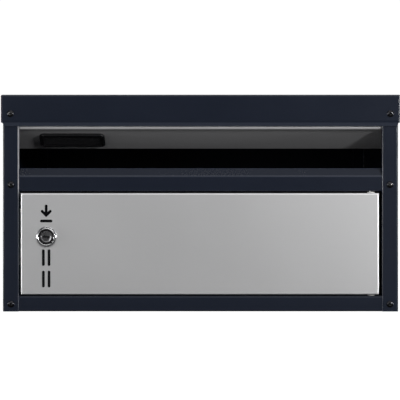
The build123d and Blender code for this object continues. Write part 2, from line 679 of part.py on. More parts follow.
KEYWAY = (8.4, 2.2)
KEYWAY_DEPTH = 7.0
PLUG_PROUD = 2.6
CAM_SCREW_RADIUS = 2.0
CAM_SCREW_DEPTH = 8.0
with BuildPart() as lock_plug:
    with BuildSketch(Plane.XZ.offset(BODY_DEPTH + PLUG_PROUD)):
        with Locations((LOCK_X, LOCK_Z)):
            Circle(PLUG_RADIUS)
    extrude(amount=-PLUG_PROUD - CAM_FRONT)
    with BuildSketch(Plane.XZ.offset(BODY_DEPTH - CAM_FRONT)):
        with Locations((LOCK_X, LOCK_Z)):
            Rectangle(TANG, TANG)
    extrude(amount=-CAM_SHEET)
    with BuildSketch(Plane.XZ.offset(BODY_DEPTH + PLUG_PROUD)):
        with Locations((LOCK_X, LOCK_Z)):
            SlotOverall(*KEYWAY)
    extrude(amount=-KEYWAY_DEPTH, mode=Mode.SUBTRACT)
    with BuildSketch(Plane.XZ.offset(BODY_DEPTH - CAM_FRONT - CAM_SHEET)):
        with Locations((LOCK_X, LOCK_Z)):
            Circle(CAM_SCREW_RADIUS)
    extrude(amount=CAM_SCREW_DEPTH, mode=Mode.SUBTRACT)
save(lock_plug, "lock_plug")

SHUTTER_SET_BACK = 1.0
SHUTTER_SHEET = 0.6
with BuildPart() as key_shutter:
    with BuildSketch(Plane.XZ.offset(BODY_DEPTH + PLUG_PROUD - SHUTTER_SET_BACK)):
        with Locations((LOCK_X, LOCK_Z)):
            SlotOverall(*KEYWAY)
    extrude(amount=-SHUTTER_SHEET)
save(key_shutter, "key_shutter")

NUT_WIDTH = 24.0
NUT_THICKNESS = 4.0
with BuildPart() as lock_nut:
    with BuildSketch(Plane.XZ.offset(BODY_DEPTH - SHEET)):
        with Locations((LOCK_X, LOCK_Z)):
            RegularPolygon(NUT_WIDTH / 2, 6, major_radius=False)
            Circle(BARREL_RADIUS, mode=Mode.SUBTRACT)
    extrude(amount=-NUT_THICKNESS)
save(lock_nut, "lock_nut")

CAM_TIP_ROUND = 2.0
CAM_STRAIGHT = CAM_REACH - CAM_TIP_ROUND
with BuildPart() as lock_cam:
    with BuildSketch(Plane.XZ.offset(BODY_DEPTH - CAM_FRONT)):
        with Locations((LOCK_X, LOCK_Z)):
            Circle(CAM_WIDTH / 2)
        with Locations((LOCK_X, LOCK_Z - CAM_STRAIGHT / 2)):
            Rectangle(CAM_WIDTH, CAM_STRAIGHT)
        with Locations((LOCK_X, LOCK_Z - CAM_REACH + CAM_WIDTH / 4)):
            RectangleRounded(CAM_WIDTH, CAM_WIDTH / 2, CAM_TIP_ROUND)
        with Locations((LOCK_X, LOCK_Z)):
            Rectangle(TANG, TANG, mode=Mode.SUBTRACT)
    extrude(amount=-CAM_SHEET)
save(lock_cam, "lock_cam")

# Screw that holds the cam: thread, washer face, rounded head with a cross slot
CAM_REAR_Y = FACE_Y + CAM_FRONT + CAM_SHEET
WASHER_RADIUS = 5.5
WASHER = 1.0
CAM_HEAD_RADIUS = 4.0
CAM_HEAD = 2.6
CAM_THREAD = 7.0
CROSS_SLOT = (4.4, 1.0)
CROSS_DEPTH = 1.4
with BuildPart() as cam_screw:
    with BuildSketch(Plane.XZ.offset(-CAM_REAR_Y)):
        with Locations((LOCK_X, LOCK_Z)):
            Circle(WASHER_RADIUS)
    extrude(amount=-WASHER)
    with BuildSketch(Plane.XZ.offset(-CAM_REAR_Y - WASHER)):
        with Locations((LOCK_X, LOCK_Z)):
            Circle(CAM_HEAD_RADIUS)
    extrude(amount=-CAM_HEAD)
    fillet(cam_screw.edges().sort_by(Axis.Y)[-1], SOFT_EDGE)
    with BuildSketch(Plane.XZ.offset(-CAM_REAR_Y)):
        with Locations((LOCK_X, LOCK_Z)):
            Circle(CAM_SCREW_RADIUS)
    extrude(amount=CAM_THREAD)
    with BuildSketch(Plane.XZ.offset(-CAM_REAR_Y - WASHER - CAM_HEAD)):
        with Locations((LOCK_X, LOCK_Z)):
            Rectangle(*CROSS_SLOT)
            Rectangle(*reversed(CROSS_SLOT))
    extrude(amount=CROSS_DEPTH, mode=Mode.SUBTRACT)
save(cam_screw, "cam_screw")

# ---------------------------------------------------------------- fasteners

SCREW_HEAD = 2.2
SCREW_DOME = 1.7
SCREW_END = 1.0
SOCKET_FLATS = 2.5
SOCKET_DEPTH = 1.5
NUT_FLATS = 7.0
NUT_HEIGHT = 3.2
low_screws = [(side * SCREW_X, BASE + h) for side in (-1, 1) for h in SCREW_HEIGHTS[:2]]
roof_screws = [(side * SCREW_X, BASE + SCREW_HEIGHTS[2]) for side in (-1, 1)]
STILE_BACK_Y = FACE_Y + SHEET
LOW_NUT_Y = STILE_BACK_Y + SHEET
screw_sets = ((low_screws, FACE_Y, LOW_NUT_Y), (roof_screws, ROOF_FACE_Y, STILE_BACK_Y))

with BuildPart() as front_screws:
    for places, seat_y, nut_y in screw_sets:
        with BuildSketch(Plane.XZ.offset(-seat_y)):
            with Locations(*places):
                Circle(SCREW_HEAD_RADIUS)
        extrude(amount=SCREW_HEAD)
        fillet(front_screws.edges().filter_by(GeomType.CIRCLE).group_by(Axis.Y)[0], SCREW_DOME)
        with BuildSketch(Plane.XZ.offset(-seat_y)):
            with Locations(*places):
                Circle(SCREW_SHANK)
        extrude(amount=seat_y - nut_y - NUT_HEIGHT - SCREW_END)
        with BuildSketch(Plane.XZ.offset(-seat_y + SCREW_HEAD)):
            with Locations(*places):
                RegularPolygon(SOCKET_FLATS / 2, 6, major_radius=False)
        extrude(amount=-SOCKET_DEPTH, mode=Mode.SUBTRACT)
save(front_screws, "front_screws")

with BuildPart() as front_nuts:
    for places, seat_y, nut_y in screw_sets:
        with BuildSketch(Plane.XZ.offset(-nut_y)):
            with Locations(*places):
                RegularPolygon(NUT_FLATS / 2, 6, major_radius=False)
                Circle(SCREW_SHANK, mode=Mode.SUBTRACT)
        extrude(amount=-NUT_HEIGHT)
save(front_nuts, "front_nuts")

SPACER_RADIUS = 4.0
with BuildPart() as roof_spacers:
    with BuildSketch(Plane.XZ.offset(BODY_DEPTH)):
        with Locations(*roof_screws):
            Circle(SPACER_RADIUS)
            Circle(SCREW_SHANK, mode=Mode.SUBTRACT)
    extrude(amount=ROOF_PROUD - SHEET)
save(roof_spacers, "roof_spacers")

RIVET_HEAD_RADIUS = 3.0
RIVET_HEAD = 1.0
RIVET_DOME = 0.5
with BuildPart() as back_rivets:
    with BuildSketch(Plane.XZ):
        with Locations(*back_rivet_places):
            Circle(RIVET_RADIUS)
    extrude(amount=BACK_SHEET + SHEET)
    with BuildSketch(Plane.XZ.offset(BACK_SHEET + SHEET)):
        with Locations(*back_rivet_places):
            Circle(RIVET_HEAD_RADIUS)
    extrude(amount=RIVET_HEAD)
    fillet(back_rivets.edges().group_by(Axis.Y)[0], RIVET_DOME)
save(back_rivets, "back_rivets")
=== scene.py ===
"""Wall mounted mailbox: finishes, fine pieces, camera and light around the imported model."""
import json
import math

import bpy
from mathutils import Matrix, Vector


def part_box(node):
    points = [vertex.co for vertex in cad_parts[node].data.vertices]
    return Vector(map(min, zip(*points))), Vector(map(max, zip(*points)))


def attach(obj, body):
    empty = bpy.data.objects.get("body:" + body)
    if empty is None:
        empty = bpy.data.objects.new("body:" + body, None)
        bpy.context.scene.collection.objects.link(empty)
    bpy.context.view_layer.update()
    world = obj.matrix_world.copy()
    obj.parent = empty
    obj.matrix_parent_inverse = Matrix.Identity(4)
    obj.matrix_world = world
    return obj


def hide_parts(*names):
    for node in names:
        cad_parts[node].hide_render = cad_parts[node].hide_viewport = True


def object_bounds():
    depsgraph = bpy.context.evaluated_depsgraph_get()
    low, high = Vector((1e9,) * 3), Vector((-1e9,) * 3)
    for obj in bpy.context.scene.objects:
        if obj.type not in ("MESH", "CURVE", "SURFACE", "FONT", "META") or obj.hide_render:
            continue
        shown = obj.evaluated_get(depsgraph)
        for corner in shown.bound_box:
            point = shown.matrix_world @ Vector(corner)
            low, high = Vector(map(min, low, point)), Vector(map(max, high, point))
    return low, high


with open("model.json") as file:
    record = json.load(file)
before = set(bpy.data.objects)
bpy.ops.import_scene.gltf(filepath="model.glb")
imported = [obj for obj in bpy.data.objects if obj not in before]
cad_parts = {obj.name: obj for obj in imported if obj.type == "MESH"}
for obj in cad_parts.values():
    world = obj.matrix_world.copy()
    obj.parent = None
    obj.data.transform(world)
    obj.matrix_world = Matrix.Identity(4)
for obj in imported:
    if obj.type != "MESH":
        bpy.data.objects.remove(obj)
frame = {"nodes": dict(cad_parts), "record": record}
cad_low, cad_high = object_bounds()
nodes = frame["nodes"]
record = frame["record"]
joints = {joint["name"]: joint for joint in record["behaviour"]["joints"]}

MM = 0.001
QUARTER_TURN = math.radians(90)

# Main places, from the frame
DOOR_LOW, DOOR_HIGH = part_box("door_panel")
DOOR_FACE_Y = DOOR_LOW[1]
ROOF_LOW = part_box("roof_cap")[0]
FLOOR_LEVEL = cad_low[2]
LOCK_CENTRE = Vector(joints["lock_turn"]["pos_m"])
FLAP_AXIS = Vector(joints["flap_hinge"]["pos_m"])


# ---------------------------------------------------------------- camera

VIEW_WIDTH = 0.4508
VIEW_DISTANCE = 1.40
SENSOR = 36.0
VIEW_CENTRE_X = -0.0006
VIEW_CENTRE_Z = FLOOR_LEVEL + 0.1257


def add_camera():
    """Straight-on view of the face, as wide as the roof."""
    place = (VIEW_CENTRE_X, DOOR_FACE_Y - VIEW_DISTANCE, VIEW_CENTRE_Z)
    bpy.ops.object.camera_add(location=place, rotation=(QUARTER_TURN, 0, 0))
    camera = bpy.context.object
    camera.name = "front_camera"
    camera.data.sensor_width = SENSOR
    camera.data.lens = SENSOR * VIEW_DISTANCE / VIEW_WIDTH
    camera.data.dof.use_dof = False
    bpy.context.scene.camera = camera


# ---------------------------------------------------------------- shader groups

def new_group(name, inputs, outputs):
    """A shader node group with float inputs {name: default} and outputs {name: socket type}."""
    group = bpy.data.node_groups.new(name, "ShaderNodeTree")
    for label, default in inputs.items():
        socket = group.interface.new_socket(label, in_out="INPUT", socket_type="NodeSocketFloat")
        socket.default_value = default
    for label, kind in outputs.items():
        group.interface.new_socket(label, in_out="OUTPUT", socket_type=kind)
    return group, group.nodes.new("NodeGroupInput"), group.nodes.new("NodeGroupOutput")


def add_node(tree, kind, links=None, **settings):
    """A node with its properties set and its inputs linked or given a value."""
    made = tree.nodes.new(kind)
    for label, value in settings.items():
        setattr(made, label, value)
    for label, source in (links or {}).items():
        socket = made.inputs[label]
        if isinstance(source, bpy.types.NodeSocket):
            tree.links.new(source, socket)
        else:
            socket.default_value = source
    return made


def maths(tree, operation, first, second=0.0, clamp=False):
    """Output of one Math node."""
    made = add_node(tree, "ShaderNodeMath", {0: first, 1: second}, operation=operation)
    made.use_clamp = clamp
    return made.outputs[0]


def ramp(tree, value, low, high, to_low=0.0, to_high=1.0, smooth=True):
    """Output of a Map Range node that clamps."""
    made = add_node(tree, "ShaderNodeMapRange",
                    {"Value": value, "From Min": low, "From Max": high,
                     "To Min": to_low, "To Max": to_high})
    made.interpolation_type = "SMOOTHSTEP" if smooth else "LINEAR"
    return made.outputs["Result"]


def object_place(tree, scale=(1, 1, 1)):
    """Object coordinates, stretched."""
    coords = add_node(tree, "ShaderNodeTexCoord")
    mapping = add_node(tree, "ShaderNodeMapping", {"Vector": coords.outputs["Object"], "Scale": scale})
    return mapping.outputs["Vector"]


def build_edge_wear_and_bend_highlight():
    """Mask of the outer edges broken up by noise, for wear, and the unbroken edge mask that paints
    highlights on bends.
    """
    group, given, out = new_group(
        "edge_wear_and_bend_highlight", {"Radius": 0.001, "Breakup": 220.0, "Amount": 1.0},
        {"Mask": "NodeSocketFloat", "Bend Highlight": "NodeSocketFloat"})
    rounded = add_node(group, "ShaderNodeBevel", {"Radius": given.outputs["Radius"]}, samples=4)
    flat = add_node(group, "ShaderNodeNewGeometry")
    along = add_node(group, "ShaderNodeVectorMath",
                     {0: rounded.outputs["Normal"], 1: flat.outputs["Normal"]}, operation="DOT_PRODUCT")
    edge = ramp(group, along.outputs["Value"], low=0.999, high=0.90)
    noise = add_node(group, "ShaderNodeTexNoise",
                     {"Vector": object_place(group), "Scale": given.outputs["Breakup"],
                      "Detail": 5.0, "Roughness": 0.65})
    broken = ramp(group, noise.outputs["Fac"], low=0.46, high=0.62)
    mask = maths(group, "MULTIPLY", edge, broken)
    shown = maths(group, "MULTIPLY", mask, given.outputs["Amount"], clamp=True)
    group.links.new(shown, out.inputs["Mask"])
    # The unbroken edge mask is used to paint highlights where light catches the bends.
    group.links.new(edge, out.inputs["Bend Highlight"])
    return group


FINE_SHARE = 0.25


def build_orange_peel():
    """Powder coat: a soft pebbled height, a fine speckle and a slow patchiness."""
    group, given, out = new_group(
        "orange_peel", {"Pebble": 900.0, "Speckle": 5200.0, "Patch": 14.0},
        {"Height": "NodeSocketFloat", "Speck": "NodeSocketFloat", "Patchiness": "NodeSocketFloat"})
    place = object_place(group)
    pebble = add_node(group, "ShaderNodeTexNoise",
                      {"Vector": place, "Scale": given.outputs["Pebble"], "Detail": 2.5})
    speckle = add_node(group, "ShaderNodeTexNoise",
                       {"Vector": place, "Scale": given.outputs["Speckle"], "Detail": 1.0})
    patch = add_node(group, "ShaderNodeTexNoise",
                     {"Vector": place, "Scale": given.outputs["Patch"], "Detail": 4.0,
                      "Roughness": 0.55})
    fine = maths(group, "MULTIPLY", speckle.outputs["Fac"], FINE_SHARE)
    height = maths(group, "ADD", pebble.outputs["Fac"], fine)
    group.links.new(height, out.inputs["Height"])
    specks = ramp(group, speckle.outputs["Fac"], low=0.60, high=0.74)
    group.links.new(specks, out.inputs["Speck"])
    patches = ramp(group, patch.outputs["Fac"], low=0.20, high=0.80, smooth=False)
    group.links.new(patches, out.inputs["Patchiness"])
    return group


# stretch of the noise along X, Y and Z, its detail and its share of the grain
STREAKS = (
    ((420, 3600, 5200), 2.5, 0.65),
    ((150, 2400, 3600), 2.0, 0.35),
)


def build_satin_grain():
    """Ground sheet: short streaks along X, crossed by a few longer ones."""
    group, given, out = new_group(
        "satin_grain", {"Fineness": 1.0}, {"Streak": "NodeSocketFloat", "Cloud": "NodeSocketFloat"})
    shares = []
    for stretch, detail, share in STREAKS:
        noise = add_node(group, "ShaderNodeTexNoise",
                         {"Vector": object_place(group, stretch), "Scale": given.outputs["Fineness"],
                          "Detail": detail, "Roughness": 0.6})
        shares.append(maths(group, "MULTIPLY", noise.outputs["Fac"], share))
    both = maths(group, "ADD", *shares)
    cloud = add_node(group, "ShaderNodeTexNoise",
                     {"Vector": object_place(group), "Scale": 9.0, "Detail": 5.0, "Roughness": 0.5})
    group.links.new(both, out.inputs["Streak"])
    group.links.new(ramp(group, cloud.outputs["Fac"], low=0.32, high=0.70), out.inputs["Cloud"])
    return group


# how much of a bright line is at full strength before it fades out
SOLID_SHARE = 0.6


def build_bright_bend():
    """Mask of a sheet's bent outline: 1 within Width of the edges of an upright rectangle."""
    group, given, out = new_group(
        "bright_bend",
        {"Centre X": 0.0, "Centre Z": 0.0, "Half X": 0.1, "Half Z": 0.1, "Width": 1.5 * MM},
        {"Mask": "NodeSocketFloat"})
    split = add_node(group, "ShaderNodeSeparateXYZ", {"Vector": object_place(group)})
    reach = []
    for axis in ("X", "Z"):
        from_centre = maths(group, "SUBTRACT", split.outputs[axis], given.outputs["Centre " + axis])
        reach.append(maths(group, "SUBTRACT", maths(group, "ABSOLUTE", from_centre),
                           given.outputs["Half " + axis]))
    outline = maths(group, "MAXIMUM", *reach)
    inside = maths(group, "DIVIDE", outline, given.outputs["Width"])
    group.links.new(ramp(group, inside, low=-1.0, high=-SOLID_SHARE), out.inputs["Mask"])
    return group


def build_bend_band():
    """Mask of a level band: 1 near Level, 0 beyond Half Width from it."""
    group, given, out = new_group(
        "bend_band", {"Level": 0.0, "Half Width": 1.0 * MM}, {"Mask": "NodeSocketFloat"})
    split = add_node(group, "ShaderNodeSeparateXYZ", {"Vector": object_place(group)})
    above = maths(group, "SUBTRACT", split.outputs["Z"], given.outputs["Level"])
    share = maths(group, "DIVIDE", maths(group, "ABSOLUTE", above), given.outputs["Half Width"])
    group.links.new(ramp(group, share, low=1.0, high=SOLID_SHARE), out.inputs["Mask"])
    return group


def build_settled_dust():
    """Mask of faint dust on faces that look up, and the even film that lies under it."""
    group, given, out = new_group(
        "settled_dust", {"Amount": 0.3, "Grain": 260.0},
        {"Mask": "NodeSocketFloat", "Film": "NodeSocketFloat"})
    geometry = add_node(group, "ShaderNodeNewGeometry")
    split = add_node(group, "ShaderNodeSeparateXYZ", {"Vector": geometry.outputs["Normal"]})
    upward = ramp(group, split.outputs["Z"], low=0.25, high=0.95)
    place = object_place(group)
    coarse = add_node(group, "ShaderNodeTexNoise", {"Vector": place, "Scale": 11.0, "Detail": 6.0})
    grain = add_node(group, "ShaderNodeTexNoise",
                     {"Vector": place, "Scale": given.outputs["Grain"], "Detail": 4.0})
    lumps = maths(group, "MULTIPLY", ramp(group, coarse.outputs["Fac"], low=0.38, high=0.70),
                  ramp(group, grain.outputs["Fac"], low=0.35, high=0.75))
    mask = maths(group, "MULTIPLY", maths(group, "MULTIPLY", upward, lumps), given.outputs["Amount"])
    group.links.new(mask, out.inputs["Mask"])
    group.links.new(ramp(group, split.outputs["Z"], low=0.80, high=0.98), out.inputs["Film"])
    return group


EDGE_WEAR_AND_BEND_HIGHLIGHT = build_edge_wear_and_bend_highlight()
ORANGE_PEEL = build_orange_peel()
SATIN_GRAIN = build_satin_grain()
SETTLED_DUST = build_settled_dust()
BRIGHT_BEND = build_bright_bend()
BEND_BAND = build_bend_band()


# ---------------------------------------------------------------- materials

def use_group(tree, group, values=None):
    """An instance of a shader group with its own values."""
    made = tree.nodes.new("ShaderNodeGroup")
    made.node_tree = group
    for label, value in (values or {}).items():
        made.inputs[label].default_value = value
    return made


def start_material(name, **constants):
    """A material with a Principled shader whose constant sockets are set."""
    material = bpy.data.materials.new(name)
    material.use_nodes = True
    tree = material.node_tree
    shader = tree.nodes["Principled BSDF"]
    for label, value in constants.items():
        shader.inputs[label.replace("_", " ")].default_value = value
    return material, tree, shader


def mix_colours(tree, factor, first, second):
    """Colour output that goes from the first to the second as factor goes from 0 to 1."""
    made = add_node(tree, "ShaderNodeMix", data_type="RGBA")
    for index, source in ((0, factor), (6, first), (7, second)):
        if isinstance(source, bpy.types.NodeSocket):
            tree.links.new(source, made.inputs[index])
        elif index == 0:
            made.inputs[index].default_value = source
        else:
            made.inputs[index].default_value = (*source, 1.0)
    return made.outputs[2]


def scaled(colour, factor, added=0.0):
    """A colour times a factor, plus a grey."""
    return tuple(min(1.0, channel * factor + added) for channel in colour)


def grow(tree, value, mask, share):
    """A value with a share of a mask added to it."""
    return maths(tree, "ADD", value, maths(tree, "MULTIPLY", mask, share))


def add_bump(tree, shader, height, strength, distance):
    """Bump from a height, into the shader's normal."""
    bump = add_node(tree, "ShaderNodeBump",
                    {"Height": height, "Strength": strength, "Distance": distance})
    tree.links.new(bump.outputs["Normal"], shader.inputs["Normal"])


DUST = (0.16, 0.15, 0.14)
# Painted highlight colour for the stile's inner edge, where light catches its bend.
PAINTED_STILE_HIGHLIGHT = (0.21, 0.21, 0.23)


def coated_steel(name, colour, gloss=0.25, wear=0.35, band=None, painted_edge_highlight=None):
    """Satin powder coat: pebbled, slightly patchy, rubbed at its edges, with painted highlights on its
    bends, an optional painted highlight band and an optional painted highlight along one edge.
    """
    material, tree, shader = start_material(name, Metallic=0.0, IOR=1.5, Specular_IOR_Level=0.5)
    peel = use_group(tree, ORANGE_PEEL)
    worn = use_group(tree, EDGE_WEAR_AND_BEND_HIGHLIGHT, {"Radius": 1.4 * MM, "Breakup": 260.0, "Amount": wear})
    dust = use_group(tree, SETTLED_DUST, {"Amount": 0.07, "Grain": 700.0})
    patchy = mix_colours(tree, peel.outputs["Patchiness"], scaled(colour, 0.94), scaled(colour, 1.06))
    speck = maths(tree, "MULTIPLY", peel.outputs["Speck"], 0.30)
    specked = mix_colours(tree, speck, patchy, scaled(colour, 2.6))
    # Painted highlight: every bend is made lighter, as where light catches it.
    bent = mix_colours(tree, worn.outputs["Bend Highlight"], specked, scaled(colour, 2.4))
    # Painted highlight: a level band across one bend is made paler, where light catches it.
    if band:
        on_bend = use_group(tree, BEND_BAND, band).outputs["Mask"]
        bent = mix_colours(tree, on_bend, bent, scaled(colour, 1.5, added=0.0137))
    # Painted highlight along one edge, where light catches the stile's inner bend; it is not wear.
    if painted_edge_highlight:
        edge, reach = painted_edge_highlight
        on_edge = maths(tree, "MULTIPLY", use_group(tree, BRIGHT_BEND, edge).outputs["Mask"],
                        use_group(tree, BEND_BAND, reach).outputs["Mask"])
        bent = mix_colours(tree, on_edge, bent, PAINTED_STILE_HIGHLIGHT)
    rubbed = mix_colours(tree, worn.outputs["Mask"], bent, scaled(colour, 3.6))
    dusty = mix_colours(tree, dust.outputs["Mask"], rubbed, DUST)
    tree.links.new(dusty, shader.inputs["Base Color"])
    rough = ramp(tree, peel.outputs["Patchiness"], low=0.0, high=1.0, to_low=gloss, to_high=gloss + 0.025)
    rough = grow(tree, rough, dust.outputs["Mask"], 0.8)
    rough = grow(tree, rough, dust.outputs["Film"], 0.50)
    rough = grow(tree, rough, worn.outputs["Mask"], 0.12)
    tree.links.new(rough, shader.inputs["Roughness"])
    add_bump(tree, shader, peel.outputs["Height"], strength=0.30, distance=0.03 * MM)
    return material


POLISHED_EDGE = (0.82, 0.82, 0.83)
# Painted highlight colour for the folded outline, where light catches the bends.
PAINTED_OUTLINE_HIGHLIGHT = (0.97, 0.97, 0.98)
# Painted highlight colour for the flap's curl, where the front light falls on it.
PAINTED_CURL_HIGHLIGHT = (0.74, 0.74, 0.75)
DUST_ON_STEEL = (0.30, 0.29, 0.27)


def satin_steel(name, colour, gloss, fineness=1.0, streak=0.06, cloud=0.05, metal=1.0,
                outline=None, curl=None):
    """Ground stainless sheet: fine streaks, faint clouding, brighter worn edges, and painted highlights on
    the folded outline and the curl.
    """
    material, tree, shader = start_material(name, Metallic=metal)
    grain = use_group(tree, SATIN_GRAIN, {"Fineness": fineness})
    edge = use_group(tree, EDGE_WEAR_AND_BEND_HIGHLIGHT, {"Radius": 1.1 * MM, "Breakup": 90.0, "Amount": 0.25})
    dust = use_group(tree, SETTLED_DUST, {"Amount": 0.15})
    streaked = mix_colours(tree, ramp(tree, grain.outputs["Streak"], low=0.38, high=0.62),
                           scaled(colour, 1.0 - streak), scaled(colour, 1.0 + streak))
    clouds = maths(tree, "MULTIPLY", grain.outputs["Cloud"], cloud)
    clouded = mix_colours(tree, clouds, streaked, scaled(colour, 0.72))
    polished_and_highlit = mix_colours(tree, edge.outputs["Mask"], clouded, POLISHED_EDGE)
    # Painted highlight along the folded outline.
    if outline:
        bend = use_group(tree, BRIGHT_BEND, outline).outputs["Mask"]
        polished_and_highlit = mix_colours(tree, bend, polished_and_highlit, PAINTED_OUTLINE_HIGHLIGHT)
    # Painted highlight on the curled edge.
    if curl:
        painted_curl_mask = use_group(tree, BEND_BAND, curl).outputs["Mask"]
        polished_and_highlit = mix_colours(tree, painted_curl_mask, polished_and_highlit, PAINTED_CURL_HIGHLIGHT)
    dusty = mix_colours(tree, dust.outputs["Mask"], polished_and_highlit, DUST_ON_STEEL)
    tree.links.new(dusty, shader.inputs["Base Color"])
    rough = ramp(tree, grain.outputs["Streak"], low=0.35, high=0.65,
                 to_low=gloss - 0.04, to_high=gloss + 0.05)
    rough = grow(tree, rough, grain.outputs["Cloud"], 0.04)
    rough = grow(tree, rough, edge.outputs["Mask"], -0.08)
    tree.links.new(rough, shader.inputs["Roughness"])
    add_bump(tree, shader, grain.outputs["Streak"], strength=0.10, distance=0.04 * MM)
    return material


BARE_EDGE_AND_RIM_HIGHLIGHT = (0.85, 0.85, 0.84)


def plated_metal(name, colour, gloss, tarnish, pit=0.05, wear=0.5, wear_reach=0.4 * MM):
    """Chrome, zinc or turned metal: small scratches, a little tarnish in patches."""
    material, tree, shader = start_material(name, Metallic=1.0)
    peel = use_group(tree, ORANGE_PEEL, {"Pebble": 1600.0, "Speckle": 4200.0, "Patch": 60.0})
    worn = use_group(tree, EDGE_WEAR_AND_BEND_HIGHLIGHT, {"Radius": wear_reach, "Breakup": 500.0, "Amount": wear})
    patchy = mix_colours(tree, peel.outputs["Patchiness"], colour, scaled(colour, 1.0 - tarnish))
    # Worn edges go bare; on the black screws this wide, full wear also paints the bright rim highlights.
    rubbed = mix_colours(tree, worn.outputs["Mask"], patchy, BARE_EDGE_AND_RIM_HIGHLIGHT)
    tree.links.new(rubbed, shader.inputs["Base Color"])
    rough = ramp(tree, peel.outputs["Patchiness"], low=0.0, high=1.0, to_low=gloss, to_high=gloss + 0.10)
    tree.links.new(rough, shader.inputs["Roughness"])
    add_bump(tree, shader, peel.outputs["Height"], strength=pit, distance=0.05 * MM)
    return material


def moulded_plastic(name, colour, gloss, texture=0.1, sheen=0.0):
    """Moulded plastic or rubber: fine surface texture, soft smears, edges a little paler."""
    material, tree, shader = start_material(name, Metallic=0.0, IOR=1.49, Sheen_Weight=sheen)
    peel = use_group(tree, ORANGE_PEEL, {"Pebble": 2300.0, "Speckle": 6100.0, "Patch": 45.0})
    worn = use_group(tree, EDGE_WEAR_AND_BEND_HIGHLIGHT, {"Radius": 0.5 * MM, "Breakup": 420.0, "Amount": 0.4})
    patchy = mix_colours(tree, peel.outputs["Patchiness"], scaled(colour, 0.86), scaled(colour, 1.14))
    rubbed = mix_colours(tree, worn.outputs["Mask"], patchy, scaled(colour, 1.6, added=0.02))
    tree.links.new(rubbed, shader.inputs["Base Color"])
    rough = ramp(tree, peel.outputs["Patchiness"], low=0.0, high=1.0, to_low=gloss, to_high=gloss + 0.12)
    tree.links.new(rough, shader.inputs["Roughness"])
    add_bump(tree, shader, peel.outputs["Height"], strength=texture, distance=0.06 * MM)
    return material


DARK_TINT = (0.010, 0.010, 0.011)
PALE_TINT = (0.017, 0.017, 0.019)


def clear_acrylic(name):
    """Thin clear window, faintly scuffed."""
    material, tree, shader = start_material(name, Metallic=0.0, IOR=1.49)
    peel = use_group(tree, ORANGE_PEEL, {"Pebble": 700.0, "Speckle": 3600.0, "Patch": 55.0})
    tint = mix_colours(tree, peel.outputs["Patchiness"], DARK_TINT, PALE_TINT)
    tree.links.new(tint, shader.inputs["Base Color"])
    rough = ramp(tree, peel.outputs["Patchiness"], low=0.0, high=1.0, to_low=0.06, to_high=0.16)
    tree.links.new(rough, shader.inputs["Roughness"])
    scuffed = ramp(tree, peel.outputs["Speck"], low=0.0, high=1.0, to_low=0.30, to_high=0.42)
    tree.links.new(scuffed, shader.inputs["Alpha"])
    return material


# Painted highlights on bent sheet, where light catches the bends, as inputs of the two bend groups
DOOR_OUTLINE = {
    "Centre X": (DOOR_LOW[0] + DOOR_HIGH[0]) / 2, "Half X": (DOOR_HIGH[0] - DOOR_LOW[0]) / 2,
    "Centre Z": (DOOR_LOW[2] + DOOR_HIGH[2]) / 2, "Half Z": (DOOR_HIGH[2] - DOOR_LOW[2]) / 2,
    "Width": 2.2 * MM,
}
FLAP_CURL = {"Level": FLAP_AXIS[2] + 1.5 * MM, "Half Width": 4.4 * MM}
ROOF_BEND = {"Level": ROOF_LOW[2] + 1.4 * MM, "Half Width": 3.2 * MM}
RAIL_BEND = {"Level": FLOOR_LEVEL + 152.5 * MM, "Half Width": 1.3 * MM}
STILE_EDGE = 204.6 * MM
OUTSIDE = 400 * MM
LEFT_STILE_EDGE = {"Centre X": -STILE_EDGE - OUTSIDE, "Half X": OUTSIDE, "Half Z": 1.0, "Width": 1.8 * MM}
SLOT_REACH = {"Level": FLOOR_LEVEL + 172.5 * MM, "Half Width": 45 * MM}

